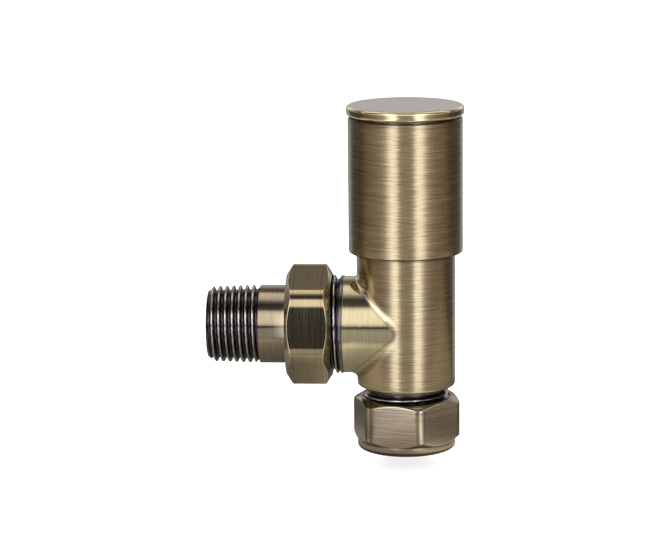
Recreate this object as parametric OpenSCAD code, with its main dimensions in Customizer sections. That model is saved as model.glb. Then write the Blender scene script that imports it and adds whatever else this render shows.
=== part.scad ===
// Angled manual radiator valve with a sleeve handwheel, a 15 mm compression inlet and a union outlet.
// The body axis is +Z, the outlet points to -X, and the origin is the mouth of the pipe socket.

/* [Valve body] */
// Diameter of the upright barrel
body_d = 26.3; // [25.6:0.1:26.6]
// Length of thread that shows between the compression nut and the barrel
lower_thread_show = 2.9; // [1.8:0.1:3.6]
// Height of the barrel's upper edge above the headwork's inner shoulder
body_roof_h = 7.4; // [6.4:0.1:8.4]
// Rounding of the barrel's lower edge
body_edge_r = 1.8; // [0.5:0.1:2.4]
// Height of the chamber floor above the barrel's lower edge
chamber_floor_rise = 8.3; // [7.6:0.1:8.7]
// Width of the chamber floor around the waterway
chamber_floor_w = 3.25; // [3:0.05:3.6]
// Height of the seat lip above the chamber floor
seat_lip_h = 1.5; // [1:0.1:1.6]
// Width of the seat lip
seat_lip_w = 1.1; // [0.6:0.1:1.4]

/* [Outlet branch] */
// Height of the outlet axis above the chamber floor
outlet_rise = 8; // [7.8:0.1:8.6]
// Radial step from the barrel down to the plain part of the branch
branch_step = 0.2; // [0.1:0.05:0.5]
// Distance from the body axis to the collar of the branch
branch_collar_u = 16.5; // [16:0.1:17]
// Length of the branch collar
branch_collar_len = 0.9; // [0.6:0.1:1.2]
// Radial step from the plain part of the branch up to its collar
branch_collar_step = 0.15; // [0.05:0.05:0.5]
// Distance from the body axis to the mouth of the branch
branch_mouth_u = 28; // [27.6:0.1:28.4]
// Radial step from the plain part of the branch up to the crests of its thread
branch_thread_step = 0.25; // [0.1:0.05:0.4]
// Diameter of the waterway through the branch
branch_bore_d = 15; // [13:0.1:15.6]
// Diameter of the socket for the nose of the tail
nose_socket_d = 18.2; // [17.6:0.1:18.6]
// Depth of the socket for the nose of the tail
nose_socket_len = 4.5; // [4.2:0.1:5]

/* [Pipe connection] */
// Outside diameter of the pipe
pipe_d = 15; // [14.6:0.1:15.2]
// Height of the pipe stop above the barrel's lower edge
pipe_stop_rise = 2.8; // [2:0.1:3.6]
// Metal between the pipe and the crests of the lower thread, five eighths of an inch pipe thread
lower_thread_wall = 3.95; // [3.8:0.05:4.1]
// Metal between the crests of the lower thread and the flats of the compression nut
comp_flat_wall = 1.7; // [1.4:0.05:2]
// Rounding of the compression nut's corners
comp_corner_r = 4; // [2:0.1:5]
// Height of the compression nut
comp_nut_h = 14.3; // [13.4:0.1:14.8]
// Height of the nut's lower collar
comp_collar_h = 2.4; // [1.8:0.1:2.8]
// Rounding of the collar's lower edge
comp_edge_r = 1.6; // [0.4:0.1:1.8]
// Thickness of the nut's lower wall
comp_wall = 3; // [2.6:0.1:3.2]
// Length of the olive
olive_len = 7.2; // [6.8:0.1:7.4]
// Wall of the olive
olive_wall = 1.4; // [1.2:0.1:1.6]

/* [Union] */
// Metal between the crests of the branch thread and the flats of the union nut
union_flat_wall = 1.5; // [1.3:0.1:2.3]
// Rounding of the union nut's corners
union_corner_r = 5.3; // [3:0.1:6]
// Length of the branch thread that the union nut covers
union_cover = 8.3; // [7.6:0.1:9]
// Thickness of the union nut's end wall
union_wall = 2.2; // [2:0.1:2.4]
// Width of the chamfer on the corners at both ends of the union nut
union_chamfer_w = 2.6; // [2:0.1:2.7]
// Length of the chamfer on the corners at both ends of the union nut
union_chamfer_h = 1.7; // [1:0.1:2]
// Thickness of the tail's flange
tail_flange_t = 1.4; // [1.2:0.1:1.9]
// Diameter of the tail's plain barrel
tail_d = 20.9; // [20.4:0.1:21.2]
// Length of the tail's plain barrel outside the union nut
tail_barrel_len = 7.4; // [5:0.1:8.4]
// Length of the tail thread
tail_thread_len = 13.8; // [11:0.1:16]
// Diameter over the tail thread at its inner end, half inch taper pipe thread
tail_thread_d = 21; // [20.6:0.1:21.2]
// Waterway through the tail
tail_bore_d = 11.5; // [10:0.1:12]
// Across flats of the key socket in the tail
key_af = 12; // [11.8:0.1:12.6]
// Depth of the key socket
key_depth = 9; // [6:0.1:12]

/* [Handwheel] */
// Radial gap between the barrel and the handwheel sleeve
sleeve_gap = 0.55; // [0.3:0.05:0.8]
// Wall of the handwheel sleeve
sleeve_wall = 1.5; // [1.3:0.1:1.6]
// Length of the barrel that the sleeve covers
sleeve_cover = 9; // [6:0.1:11]
// Height of the sleeve's upper edge above the spindle
sleeve_rise = 7; // [6.4:0.1:9]
// Overhang of the cap beyond the sleeve
cap_lip = 0.4; // [0.2:0.05:1]
// Thickness of the cap's disc
cap_t = 2.8; // [2.4:0.1:4]
// Rounding of the cap's edges
cap_edge_r = 1.1; // [0.3:0.1:1.1]
// Groove between the sleeve and the cap
cap_gap = 0.5; // [0.2:0.1:0.8]

/* [Headwork] */
// Diameter of the spindle
spindle_d = 8; // [7.8:0.1:8.2]
// Height of the spindle's upper end above the headwork's neck
spindle_rise = 11; // [10:0.1:12]
// Diameter of the spindle's operating thread
drive_thread_d = 6.8; // [6:0.1:7]
// Across flats of the plug's guide
plug_af = 10; // [9.8:0.1:10.2]
// Travel of the plug from shut to open
plug_travel = 5; // [3:0.1:5]
// Wall of the barrel around the headwork's thread
bonnet_thread_wall = 3.15; // [3:0.05:3.4]
// Ledge between the headwork's thread and the flats of its hexagon
bonnet_ledge = 1; // [0.6:0.1:1.5]
// Step from the headwork's thread down to the chamber
chamber_step = 1; // [0.7:0.1:1.2]
// Height of the headwork's hexagon
bonnet_hex_h = 5; // [4:0.1:5.4]
// Height of the headwork's neck above its hexagon
bonnet_neck_h = 4; // [3:0.1:4.2]
// Number of teeth on the spindle's spline
spline_teeth = 20; // [12:1:24]

/* [Hidden] */
$fn = 96;
// One overrun for all cuts
over = 0.5;
// Radial clearance of turning and sliding fits
running = 0.08;
// Gap between faces that seat on each other
seat_gap = 0.1;
// Radial clearance between a thread's crests and the plain bore around it
thread_gap = 0.15;
// Radial clearance between the pipe and the socket
pipe_gap = 0.1;
pipe_hole_r = pipe_d / 2 + pipe_gap;
hexagon = 6;
full_turn = 360;
quarter_turn = 90;
// Turn of the compression nut and of the union nut, as they happen to stand
comp_nut_turn = 47.8;
union_nut_turn = 8;
corner_angle = 30;
// Height of a nut's corner rounding over its flats, where the two cross
corner_swell = 0.005;

// Pipe thread of fourteen turns to the inch: pitch, depth and the shares of a ridge
pitch = 1.814;
thread_depth = 1.16;
ridge_shares = [0.08, 0.42, 0.58, 0.92];
ridge_height_shares = [0, 1, 1, 0];
taper_angle = 1.79;

// Heights from the compression nut up to the outlet
body_bottom_z = comp_nut_h + lower_thread_show;
pipe_depth = body_bottom_z + pipe_stop_rise;
chamber_floor_z = body_bottom_z + chamber_floor_rise;
outlet_z = chamber_floor_z + outlet_rise;

// Diameters that follow the barrel
bonnet_thread_d = body_d - 2 * bonnet_thread_wall;
bonnet_af = bonnet_thread_d + 2 * bonnet_ledge;
chamber_d = bonnet_thread_d - 2 * chamber_step;
seat_bore_d = chamber_d - 2 * chamber_floor_w;
sleeve_d = body_d + 2 * (sleeve_gap + sleeve_wall);
cap_d = sleeve_d + 2 * cap_lip;
branch_d = body_d - 2 * branch_step;
branch_collar_d = branch_d + 2 * branch_collar_step;
branch_thread_d = branch_d + 2 * branch_thread_step;

// Places along the branch
collar_end_u = branch_collar_u + branch_collar_len;
nose_socket_u = branch_mouth_u - nose_socket_len;

// Places along the union nut and the tail
union_af = branch_thread_d + 2 * union_flat_wall;
union_reach = (union_af / 2 - union_corner_r) / cos(corner_angle) + union_corner_r;
union_near_u = branch_mouth_u - union_cover;
nose_d = nose_socket_d - 2 * seat_gap;
nose_end_u = nose_socket_u + 4 * seat_gap;
flange_u = branch_mouth_u + seat_gap;
flange_end_u = flange_u + tail_flange_t;
union_shoulder_u = flange_end_u + seat_gap;
union_far_u = union_shoulder_u + union_wall;
tail_thread_u = union_far_u + tail_barrel_len;
tail_end_u = tail_thread_u + tail_thread_len;
union_bore_r = branch_thread_d / 2 + thread_gap;
flange_r = union_bore_r - 3 * thread_gap;
tail_ring_section = 1.4;
tail_ring_groove = 1.8;
tail_ring_u = (flange_u + nose_end_u) / 2;

// Places in the compression joint
lower_thread_d = pipe_d + 2 * lower_thread_wall;
comp_nut_af = lower_thread_d + 2 * comp_flat_wall;
comp_reach = (comp_nut_af / 2 - comp_corner_r) / cos(corner_angle) + comp_corner_r;
spigot_mouth_r = pipe_hole_r + olive_wall + seat_gap;
olive_z = comp_wall + seat_gap;
olive_r = pipe_hole_r + olive_wall;
cone_h = 2 * olive_wall;
spigot_cone_z = olive_z + olive_len - cone_h + 3 * seat_gap;
spigot_z = spigot_cone_z - 2 * seat_gap;
comp_bore_r = lower_thread_d / 2 + thread_gap;
comp_shoulder_z = spigot_z - 2 * seat_gap;
comp_chamfer_h = 1.5;
comp_top_r = comp_nut_af / 2 - comp_chamfer_h / 2;
collar_cone_h = 1.55;
lower_neck_d = lower_thread_d - 2 * thread_depth;
lower_neck_h = 1.2;

// Places in the headwork
seat_z = chamber_floor_z + seat_lip_h;
washer_t = 3;
washer_d = seat_bore_d + 3 * seat_lip_w;
plug_flange_t = 2;
plug_flange_z = seat_z + washer_t;
plug_flange_end_z = plug_flange_z + plug_flange_t;
drive_hole_z = plug_flange_end_z + plug_flange_t + over;
spindle_bottom_z = drive_hole_z + plug_travel + 2 * seat_gap;
drive_overlap = 8;
plug_top_z = spindle_bottom_z + drive_overlap;
guide_top_z = plug_top_z + plug_travel + 4 * seat_gap;
collar_t = 1.8;
spindle_collar_z = guide_top_z + seat_gap;
bonnet_shoulder_z = spindle_collar_z + collar_t + seat_gap;
body_top_z = bonnet_shoulder_z + body_roof_h;
bonnet_bottom_z = outlet_z + branch_bore_d / 2 + over;
bonnet_cage_d = chamber_d - 4 * seat_gap;
bonnet_cage_h = 7;
chamber_top_z = bonnet_bottom_z + bonnet_cage_h;
bonnet_hex_top_z = body_top_z + bonnet_hex_h;
neck_top_z = bonnet_hex_top_z + bonnet_neck_h;
neck_d = 15;
spindle_top_z = neck_top_z + spindle_rise;
guide_af = plug_af + 2 * running;
ring_section = 1.3;
ring_groove = 1.8;
ring_root_r = spindle_d / 2 - ring_section;
lower_ring_z = bonnet_shoulder_z + 2 * ring_groove;
upper_ring_z = lower_ring_z + 3 * ring_groove;
body_ring_section = 1.5;
washer_thin = 0.6;
thrust_z = neck_top_z + seat_gap;
circlip_t = 0.7;
circlip_z = thrust_z + washer_thin + seat_gap;
circlip_root_r = spindle_d / 2 - circlip_t;
circlip_r = spindle_d / 2 + 2 * circlip_t;
circlip_opening = 60;
spline_z = circlip_z + 2 * circlip_t;
spline_depth = 0.4;
tooth_shares = [0, 0.3, 0.5, 0.8];
tooth_height_shares = [0, 1, 1, 0];

// Screws
screw_d = 4;
screw_head_d = 7;
screw_head_h = 2.2;
screw_slot_w = 1;
screw_slot_h = 1;
washer_screw_len = washer_t + plug_flange_t + over - seat_gap;
wheel_screw_len = 11;

// Places in the handwheel
sleeve_bottom_z = body_top_z - sleeve_cover;
sleeve_top_z = spindle_top_z + sleeve_rise;
sleeve_bore_d = sleeve_d - 2 * sleeve_wall;
insert_web = 2;
insert_top_z = spindle_top_z + seat_gap + insert_web;
insert_bottom_z = spline_z + seat_gap;
insert_hub_d = 13;
insert_wall = 1.6;
insert_ribs = 6;
insert_r = sleeve_bore_d / 2 - seat_gap / 2;
lip_t = 1.8;
lip_inner_d = sleeve_bore_d - 2 * lip_t;
lip_z = insert_top_z + seat_gap / 2;
sleeve_chamfer = 0.4;
spring_washer_t = 0.8;
wheel_screw_z = insert_top_z + spring_washer_t;
cap_z = sleeve_top_z + cap_gap;
cap_spigot_wall = 2;
cap_spigot_bottom_z = lip_z + lip_t + seat_gap;

// Solid of revolution between two heights, with rounded lower and upper edges
module rounded_bar(r, z0, z1, low_r, high_r) {
    rotate_extrude() intersection() {
        translate([0, z0]) square([r, z1 - z0]);
        union() {
            translate([0, z0 + low_r]) square([r, z1 - z0 - low_r - high_r]);
            translate([0, z0]) square([r - max(low_r, high_r), z1 - z0]);
            if (low_r > 0) translate([r - low_r, z0 + low_r]) circle(low_r);
            if (high_r > 0) translate([r - high_r, z1 - high_r]) circle(high_r);
            if (low_r < high_r) translate([0, z0]) square([r - low_r, z1 - z0 - high_r]);
            if (high_r < low_r) translate([0, z0 + low_r]) square([r - high_r, z1 - z0 - low_r]);
        }
    }
}

// Tube between two heights
module tube(outer_r, inner_r, z0, z1) {
    translate([0, 0, z0]) difference() {
        cylinder(r = outer_r, h = z1 - z0);
        translate([0, 0, -over]) cylinder(r = inner_r, h = z1 - z0 + 2 * over);
    }
}

// Hole between two heights
module hole(r, z0, z1) {
    translate([0, 0, z0]) cylinder(r = r, h = z1 - z0);
}

// Hexagonal bar between two heights, given across its flats
module hex_bar(af, z0, z1) {
    translate([0, 0, z0]) cylinder(r = af / 2 / cos(corner_angle), h = z1 - z0, $fn = hexagon);
}

// Hexagonal bar between two heights, given across its flats, with rounded corners
module soft_hex_bar(af, corner_r, z0, z1) {
    centre_r = (af / 2 - corner_r) / cos(corner_angle);
    corners = [for (i = [0 : hexagon - 1]) i * full_turn / hexagon];
    translate([0, 0, z0]) linear_extrude(z1 - z0) union() {
        polygon([for (a = corners, side = [-1, 1])
            [centre_r * cos(a) + corner_r * cos(a + side * corner_angle),
             centre_r * sin(a) + corner_r * sin(a + side * corner_angle)]]);
        for (a = corners) rotate(a) translate([centre_r, 0]) circle(corner_r + corner_swell);
    }
}

// Threaded bar between two heights as rings of the thread's section, from one crest radius to another
module thread_rings(r0, r1, z0, z1, depth) {
    turns = floor((z1 - z0) / pitch);
    start = z0 + (z1 - z0 - turns * pitch) / 2;
    ridge = [for (i = [0 : turns - 1], k = [0 : len(ridge_shares) - 1])
        let (z = start + (i + ridge_shares[k]) * pitch, crest = r0 + (r1 - r0) * (z - z0) / (z1 - z0))
        [crest - depth * (1 - ridge_height_shares[k]), z]];
    rotate_extrude() polygon(concat([[0, z0], [r0 - depth, z0]], ridge, [[r1 - depth, z1], [0, z1]]));
}

// Ring of round section about the axis
module ring(inner_r, section, z) {
    translate([0, 0, z]) rotate_extrude() translate([inner_r + section / 2, 0]) circle(d = section);
}

// Turns what is drawn along +Z so that it lies along the outlet axis
module along_outlet() {
    translate([0, 0, outlet_z]) rotate([0, -quarter_turn, 0]) children();
}

// Outline of the toothed drive, grown all round by a clearance
module spline_outline(grow) {
    tip = spindle_d / 2 - running + grow;
    root = tip - spline_depth;
    step = full_turn / spline_teeth;
    polygon([for (i = [0 : spline_teeth - 1], k = [0 : len(tooth_shares) - 1])
        let (a = (i + tooth_shares[k]) * step, r = root + (tip - root) * tooth_height_shares[k])
        [r * cos(a), r * sin(a)]]);
}

// Slotted screw whose head stands on a height, with its shank below
module screw(head_z, len) {
    difference() {
        union() {
            rounded_bar(screw_head_d / 2, head_z, head_z + screw_head_h, 0, screw_head_h / 3);
            hole(screw_d / 2, head_z - len, head_z + over);
        }
        translate([-screw_head_d, -screw_slot_w / 2, head_z + screw_head_h - screw_slot_h])
            cube([2 * screw_head_d, screw_slot_w, 2 * screw_slot_h]);
    }
}

module valve_body() {
    color("#8a7448") difference() {
        union() {
            rounded_bar(body_d / 2, body_bottom_z, body_top_z, body_edge_r, over);
            thread_rings(lower_thread_d / 2, lower_thread_d / 2, spigot_z, body_bottom_z - lower_neck_h,
                         thread_depth);
            hole(lower_neck_d / 2, body_bottom_z - 2 * lower_neck_h, body_bottom_z + body_edge_r);
            along_outlet() {
                hole(branch_d / 2, 0, branch_collar_u + over);
                rounded_bar(branch_collar_d / 2, branch_collar_u, collar_end_u, seat_gap, seat_gap);
                thread_rings(branch_thread_d / 2, branch_thread_d / 2, collar_end_u, branch_mouth_u,
                             thread_depth);
            }
        }
        hole(pipe_hole_r, spigot_z - over, pipe_depth);
        hole(spigot_mouth_r, spigot_z - over, spigot_cone_z);
        translate([0, 0, spigot_cone_z]) cylinder(r1 = spigot_mouth_r, r2 = pipe_hole_r, h = cone_h);
        hole(seat_bore_d / 2, pipe_depth - over, chamber_floor_z + over);
        difference() {
            hole(chamber_d / 2, chamber_floor_z, chamber_top_z + over);
            tube(seat_bore_d / 2 + seat_lip_w, seat_bore_d / 2, chamber_floor_z - over, seat_z);
        }
        hole(bonnet_thread_d / 2 + running, chamber_top_z, body_top_z + over);
        hole(bonnet_thread_d / 2 + body_ring_section + seat_gap, body_top_z - body_ring_section - seat_gap,
             body_top_z + over);
        difference() {
            along_outlet() hole(branch_bore_d / 2, 0, branch_mouth_u + over);
            hole(chamber_d / 2 + seat_gap, 0, chamber_floor_z);
            tube(seat_bore_d / 2 + seat_lip_w, seat_bore_d / 2, chamber_floor_z - over, seat_z);
        }
        along_outlet() hole(nose_socket_d / 2, nose_socket_u, branch_mouth_u + over);
    }
}

module bonnet() {
    color("#b08d4c") difference() {
        union() {
            hole(bonnet_cage_d / 2, bonnet_bottom_z, chamber_top_z + over);
            thread_rings(bonnet_thread_d / 2, bonnet_thread_d / 2, chamber_top_z + seat_gap,
                         body_top_z - body_ring_section, thread_depth / 2);
            hole(bonnet_thread_d / 2 - thread_depth / 2, chamber_top_z, body_top_z + over);
            intersection() {
                hex_bar(bonnet_af, body_top_z + seat_gap, bonnet_hex_top_z);
                rounded_bar(bonnet_af / 2 / cos(corner_angle), body_top_z + seat_gap, bonnet_hex_top_z, 0,
                            bonnet_neck_h / 2);
            }
            hole(neck_d / 2, bonnet_hex_top_z - over, neck_top_z);
        }
        hex_bar(guide_af, bonnet_bottom_z - over, guide_top_z);
        hole(plug_af / 2, bonnet_bottom_z, bonnet_shoulder_z);
        hole(spindle_d / 2 + running, bonnet_bottom_z, neck_top_z + over);
    }
}

module bonnet_o_ring() {
    color("#202020")
        ring(bonnet_thread_d / 2 - thread_depth / 2 + seat_gap, body_ring_section,
             body_top_z - body_ring_section / 2);
}

module spindle() {
    color("#c2a05c") difference() {
        union() {
            hole(drive_thread_d / 2, spindle_bottom_z, spindle_collar_z + over);
            hole(plug_af / 2 - running, spindle_collar_z, spindle_collar_z + collar_t);
            hole(spindle_d / 2, spindle_collar_z, spline_z);
            translate([0, 0, spline_z]) linear_extrude(spindle_top_z - spline_z) spline_outline(0);
        }
        for (z = [lower_ring_z, upper_ring_z])
            tube(spindle_d, ring_root_r, z - ring_groove / 2, z + ring_groove / 2);
        tube(spindle_d, circlip_root_r, circlip_z - seat_gap, circlip_z + circlip_t + seat_gap);
        hole(screw_d / 2 + running, spindle_top_z - wheel_screw_len, spindle_top_z + over);
    }
}

module spindle_o_ring_lower() {
    color("#202020") ring(ring_root_r, ring_section, lower_ring_z);
}

module spindle_o_ring_upper() {
    color("#202020") ring(ring_root_r, ring_section, upper_ring_z);
}

module thrust_washer() {
    color("#e8e4d8") tube(neck_d / 2 - over, spindle_d / 2 + running, thrust_z, thrust_z + washer_thin);
}

module spindle_circlip() {
    color("#8c9094") difference() {
        tube(circlip_r, circlip_root_r + running, circlip_z, circlip_z + circlip_t);
        translate([0, 0, circlip_z - over]) rotate(-circlip_opening / 2)
            rotate_extrude(angle = circlip_opening) square([2 * circlip_r, circlip_t + 2 * over]);
    }
}

module valve_plug() {
    color("#c2a05c") difference() {
        union() {
            hex_bar(plug_af, plug_flange_end_z - over, plug_top_z);
            hole(washer_d / 2, plug_flange_z, plug_flange_end_z);
        }
        hole(drive_thread_d / 2 + running, drive_hole_z, plug_top_z + over);
        hole(screw_d / 2 + running, plug_flange_z - over, plug_flange_end_z + over);
    }
}

module seat_washer() {
    color("#282828") tube(washer_d / 2, screw_d / 2 + running, seat_z, seat_z + washer_t);
}

module washer_screw() {
    color("#c2a05c") translate([0, 0, seat_z]) mirror([0, 0, 1]) screw(0, washer_screw_len);
}

module handwheel_insert() {
    color("#35332f") difference() {
        union() {
            hole(insert_r, insert_top_z - insert_web, insert_top_z);
            tube(insert_r, insert_r - insert_wall, insert_bottom_z, insert_top_z);
            hole(insert_hub_d / 2, insert_bottom_z, insert_top_z);
            for (i = [0 : insert_ribs - 1])
                rotate(i * full_turn / insert_ribs) translate([0, -insert_wall / 2, insert_bottom_z])
                    cube([insert_r - insert_wall / 2, insert_wall, insert_top_z - insert_bottom_z]);
        }
        translate([0, 0, insert_bottom_z - over])
            linear_extrude(insert_top_z - insert_web - insert_bottom_z + over) spline_outline(running);
        hole(screw_d / 2 + running, insert_bottom_z, insert_top_z + over);
    }
}

module handwheel_sleeve() {
    color("#8a7448") difference() {
        rotate_extrude() polygon([
            [lip_inner_d / 2, sleeve_bottom_z],
            [sleeve_d / 2 - sleeve_chamfer, sleeve_bottom_z],
            [sleeve_d / 2, sleeve_bottom_z + sleeve_chamfer],
            [sleeve_d / 2, sleeve_top_z - sleeve_chamfer],
            [sleeve_d / 2 - sleeve_chamfer, sleeve_top_z],
            [lip_inner_d / 2, sleeve_top_z]]);
        hole(sleeve_bore_d / 2, sleeve_bottom_z - over, lip_z);
        hole(sleeve_bore_d / 2, lip_z + lip_t, sleeve_top_z + over);
    }
}

module spring_washer() {
    color("#8c9094") tube(screw_head_d / 2, screw_d / 2 + running, insert_top_z, wheel_screw_z);
}

module handwheel_screw() {
    color("#8c9094") screw(wheel_screw_z, wheel_screw_len);
}

module cap_disc() {
    color("#b9a468") union() {
        rounded_bar(cap_d / 2, cap_z, cap_z + cap_t, cap_edge_r, cap_edge_r);
        tube(sleeve_bore_d / 2 - running, sleeve_bore_d / 2 - running - cap_spigot_wall,
             cap_spigot_bottom_z, cap_z + over);
    }
}

module union_nut() {
    color("#7d6a45") along_outlet() difference() {
        intersection() {
            rotate(union_nut_turn) soft_hex_bar(union_af, union_corner_r, union_near_u, union_far_u);
            rotate_extrude() polygon([
                [0, union_near_u],
                [union_reach - union_chamfer_w, union_near_u],
                [union_reach + seat_gap, union_near_u + union_chamfer_h],
                [union_reach + seat_gap, union_far_u - union_chamfer_h],
                [union_reach - union_chamfer_w, union_far_u],
                [0, union_far_u]]);
        }
        hole(union_bore_r, union_near_u - over, union_shoulder_u);
        hole(tail_d / 2 + running, union_near_u, union_far_u + over);
    }
}

module radiator_tail() {
    thread_r = tail_thread_d / 2;
    end_r = thread_r - tail_thread_len * tan(taper_angle);
    color("#4a4438") along_outlet() difference() {
        union() {
            hole(nose_d / 2, nose_end_u, flange_u + over);
            rounded_bar(flange_r, flange_u, flange_end_u, seat_gap, seat_gap);
            hole(tail_d / 2, flange_u, tail_thread_u);
            thread_rings(thread_r, end_r, tail_thread_u, tail_end_u, thread_depth);
        }
        hole(tail_bore_d / 2, nose_end_u - over, tail_end_u + over);
        hex_bar(key_af, tail_end_u - key_depth, tail_end_u + over);
        tube(nose_d, nose_d / 2 - tail_ring_section, tail_ring_u - tail_ring_groove / 2,
             tail_ring_u + tail_ring_groove / 2);
    }
}

module tail_o_ring() {
    color("#202020") along_outlet() ring(nose_d / 2 - tail_ring_section, tail_ring_section, tail_ring_u);
}

module compression_nut() {
    collar_r = comp_nut_af / 2;
    color("#7d6a45") difference() {
        union() {
            rounded_bar(collar_r, 0, comp_collar_h, comp_edge_r, 0);
            intersection() {
                rotate(comp_nut_turn) soft_hex_bar(comp_nut_af, comp_corner_r, comp_edge_r, comp_nut_h);
                rotate_extrude() polygon([
                    [0, comp_edge_r],
                    [collar_r - seat_gap, comp_edge_r],
                    [collar_r - seat_gap, comp_collar_h],
                    [comp_reach + seat_gap, comp_collar_h + collar_cone_h],
                    [comp_reach + seat_gap, comp_nut_h - comp_chamfer_h],
                    [comp_top_r, comp_nut_h],
                    [0, comp_nut_h]]);
            }
        }
        hole(comp_bore_r, comp_shoulder_z, comp_nut_h + over);
        translate([0, 0, comp_wall])
            cylinder(r1 = pipe_hole_r, r2 = pipe_hole_r + comp_shoulder_z - comp_wall,
                     h = comp_shoulder_z - comp_wall);
        hole(olive_r + 2 * seat_gap, olive_z + cone_h / 2, comp_shoulder_z + over);
        hole(pipe_hole_r, -over, comp_nut_h);
    }
}

module olive() {
    top = olive_z + olive_len;
    edge = seat_gap;
    color("#c9a45c") rotate_extrude() polygon([
        [pipe_hole_r, olive_z + edge],
        [pipe_hole_r + edge, olive_z + edge],
        [olive_r, olive_z + cone_h],
        [olive_r, top - cone_h],
        [pipe_hole_r + edge, top],
        [pipe_hole_r, top]]);
}

valve_body();
bonnet();
bonnet_o_ring();
spindle();
spindle_o_ring_lower();
spindle_o_ring_upper();
thrust_washer();
spindle_circlip();
valve_plug();
seat_washer();
washer_screw();
handwheel_insert();
handwheel_sleeve();
spring_washer();
handwheel_screw();
cap_disc();
union_nut();
radiator_tail();
tail_o_ring();
compression_nut();
olive();
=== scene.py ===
import math

import bmesh
import bpy
import numpy as np
from mathutils import Matrix, Vector


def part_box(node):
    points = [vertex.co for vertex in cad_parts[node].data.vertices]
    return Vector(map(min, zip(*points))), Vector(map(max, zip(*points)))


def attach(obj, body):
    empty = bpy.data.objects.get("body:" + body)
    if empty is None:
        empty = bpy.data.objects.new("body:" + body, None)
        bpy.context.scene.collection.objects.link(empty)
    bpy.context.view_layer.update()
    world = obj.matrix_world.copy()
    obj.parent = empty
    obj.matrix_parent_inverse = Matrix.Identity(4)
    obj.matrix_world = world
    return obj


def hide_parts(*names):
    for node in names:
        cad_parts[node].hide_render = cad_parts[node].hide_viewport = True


# Looks of an angled manual radiator valve in antique brass.
# Lengths are millimetres in the part's own frame, and MM turns them into metres.
MM = 0.001

# Sizes that the frame's boxes don't give
BODY_BOTTOM_Z = 17.2
BODY_EDGE_R = 1.8
BRANCH_R = 12.95
COLLAR_U = 16.5
COLLAR_END_U = 17.4
COLLAR_R = 13.1
BRANCH_THREAD_R = 13.2
BRANCH_BORE_R = 7.5
NOSE_SOCKET_R = 9.1
NOSE_SOCKET_U = 23.5
LOWER_THREAD_R = 11.45
LOWER_NECK_R = 10.29
SPIGOT_MOUTH_R = 9.1
SPIGOT_CONE_Z = 7.8
CONE_H = 2.8
PIPE_R = 7.6
PIPE_STOP_Z = 20.0
SEAT_R = 5.75
SEAT_LIP_R = 6.85
SEAT_Z = 27.0
CHAMBER_R = 9.0
CHAMBER_FLOOR_Z = 25.5
CHAMBER_TOP_Z = 48.5
BONNET_BORE_R = 10.08
BONNET_RING_R = 11.6
BONNET_RING_Z = 60.9
UNION_FLATS = 29.4
UNION_TURN = 8.0
UNION_CORNER_R = 5.3
UNION_CHAMFER_W = 2.6
UNION_CHAMFER_H = 1.7
UNION_BORE_R = 13.35
UNION_END_R = 10.53
UNION_WALL = 2.2
TAIL_R = 10.45
TAIL_THREAD_U = 39.2
TAIL_THREAD_R = 10.5
TAIL_END_R = 10.07
TAIL_BORE_R = 5.75
KEY_FLATS = 12.0
KEY_DEPTH = 9.0
NUT_FLATS = 26.3
NUT_TURN = 47.8
NUT_CORNER_R = 4.0
NUT_TOP_R = 12.4
NUT_CHAMFER_H = 1.5
COLLAR_H = 2.4
COLLAR_EDGE_R = 1.6
COLLAR_CONE_H = 1.55
SEAT_GAP = 0.1
# Half width of the paler line on a nut's corner, worn and with a painted highlight, and how far from it the flanks
# with painted shade lie
LINE_DEG = 1.4
FLANK_DEG = 3.6
# How far the turned profile of a nut runs on past its corners
PAST = 1.0
PITCH = 1.814
THREAD_DEPTH = 1.16
SEGMENTS = 288
# Fillet between barrel and branch: angle from straight up, and radius
FILLET_DEG = [0, 25, 50, 70, 82, 90, 98, 110, 130, 155, 180]
FILLET_R = [0.6, 0.9, 2.2, 4.5, 9.0, 14.0, 10.0, 6.0, 4.0, 2.5, 1.3]
BODY_STEP_DEG = 2
# Painted highlight on the fillet: how much paler it is painted at each angle
FILLET_SHEEN = [0.3, 0.6, 0.9, 0.8, 0.5, 0.3, 0.2, 0.1, 0.1, 0.1, 0.1]
THREAD_STEPS = 20
FINE = 0.15
# Painted shade: a darker band at the sleeve's top, under the cap
TOP_BAND_H = 1.8
TOP_BAND_FADE = 0.6
TOP_BAND_TONE = 0.2


def arc_rows(points, radius=0.12):
    """Rounds the corners of a profile of (r, h) or (r, h, own radius) points. Returns rows of (r, h, mark): 1 on a
    rounded edge, which is worn paler, and -1 in a rounded hollow, which gets painted shade.
    """
    pts = [(p[0], p[1], p[2] if len(p) > 2 else radius) for p in points]
    out = []
    for i, (r, h, rad) in enumerate(pts):
        here = Vector((r, h))
        if i in (0, len(pts) - 1) or rad <= 0:
            out.append((r, h, 0.0))
            continue
        before = Vector(pts[i - 1][:2]) - here
        after = Vector(pts[i + 1][:2]) - here
        angle = before.angle(after)
        room = 0.49 * min(before.length, after.length)
        rad = min(rad, room * math.tan(angle / 2))
        cut = rad / math.tan(angle / 2)
        middle = (before.normalized() + after.normalized()).normalized()
        centre = here + middle * rad / math.sin(angle / 2)
        a = here + before.normalized() * cut - centre
        b = here + after.normalized() * cut - centre
        sweep = a.angle_signed(b)
        steps = max(4, math.ceil(rad * abs(sweep) / FINE))
        turn = before.x * after.y - before.y * after.x
        mark = 1.0 if turn > 0 else -1.0
        for k in range(steps + 1):
            c, s = math.cos(-sweep * k / steps), math.sin(-sweep * k / steps)
            out.append((centre.x + a.x * c - a.y * s, centre.y + a.x * s + a.y * c, mark if 0 < k < steps else 0.0))
    return out


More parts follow.
